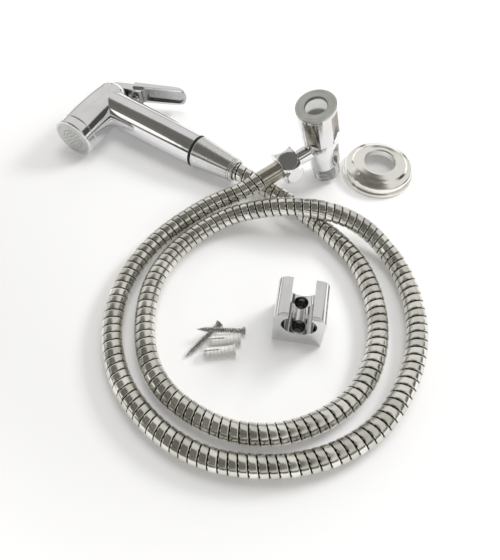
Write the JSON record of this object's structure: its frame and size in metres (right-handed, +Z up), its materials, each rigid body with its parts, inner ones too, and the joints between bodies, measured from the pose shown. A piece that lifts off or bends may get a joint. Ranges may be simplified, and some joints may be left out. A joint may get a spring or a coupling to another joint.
{
  "type": "bathroom hand spray kit",
  "caption": "Trigger bidet sprayer with ribbed metal hose, angle valve with knob, wall flange, wall holder, screws and plugs, laid out on a table.",
  "frame": {"origin": "table level, under the middle of the laid-out kit's box, measured without the hose", "axes": "+X along the row of handset, valve and flange, +Y from the hose coil towards that row, +Z up from the table"},
  "size_m": [0.2742, 0.3039, 0.0733],
  "materials": {
    "chrome": "polished",
    "steel": "bright stainless",
    "satin": "satin",
    "black_rubber": "matte",
    "brass": "machined",
    "ceramic": "ground",
    "nylon": "matte"
  },
  "bodies": {
    "kit": {"handset_body": "chrome", "face_ring": "chrome", "spray_plate": "steel", "plate_gasket": "black_rubber", "trigger_pin": "steel", "stem_guide": "chrome", "stem_spring": "steel", "handle_gasket": "black_rubber", "cone_washer": "black_rubber", "cone_insert": "brass", "hose": "steel", "hex_ferrule": "steel", "hex_washer": "black_rubber", "valve_body": "chrome", "cartridge": "brass", "cartridge_seal": "black_rubber", "disc_fixed": "ceramic", "wall_flange": "chrome", "wall_holder": "chrome", "wall_screws": "steel", "wall_plugs": "nylon"},
    "trigger": {"trigger_lever": "chrome"},
    "stem": {"valve_stem": "steel", "stem_seal": "black_rubber"},
    "knob": {"knob": "chrome", "knob_ring": "satin", "knob_button": "chrome", "knob_screw": "steel", "spindle": "brass", "disc_moving": "ceramic"},
    "cone_nut": {"cone_nut": "chrome"},
    "hex_nut": {"hex_nut": "chrome"}
  },
  "joints": [
    {"name": "trigger_hinge", "type": "hinge", "parent": "kit", "child": "trigger", "pos_m": [-0.09783, 0.10943, 0.01617], "axis": [-0.0292, 0.0192, -0.9994], "range_deg": [0, 11], "stiffness_Nm_per_rad": 0.1, "springref_deg": -8.59},
    {"name": "stem_slide", "type": "slide", "parent": "kit", "child": "stem", "axis": [-0.549, -0.8358, 0], "range_m": [0, 0.0035], "deforming": ["stem_spring"]},
    {"name": "knob_turn", "type": "hinge", "parent": "kit", "child": "knob", "pos_m": [0.06145, 0.03073, 0.04132], "axis": [-0.2375, -0.1226, 0.9636], "range_deg": [0, 90]},
    {"name": "cone_nut_spin", "type": "hinge", "parent": "kit", "child": "cone_nut", "pos_m": [-0.01614, 0.03902, 0.01244], "axis": [0.8353, -0.5487, -0.0349], "continuous": true},
    {"name": "hex_nut_spin", "type": "hinge", "parent": "kit", "child": "hex_nut", "pos_m": [0.03873, 0.019, 0.02614], "axis": [-0.8563, -0.442, -0.2672], "continuous": true}
  ],
  "couplings": [
    {"joint": "stem_slide", "follows": "trigger_hinge", "m_per_rad": 0.0173}
  ]
}
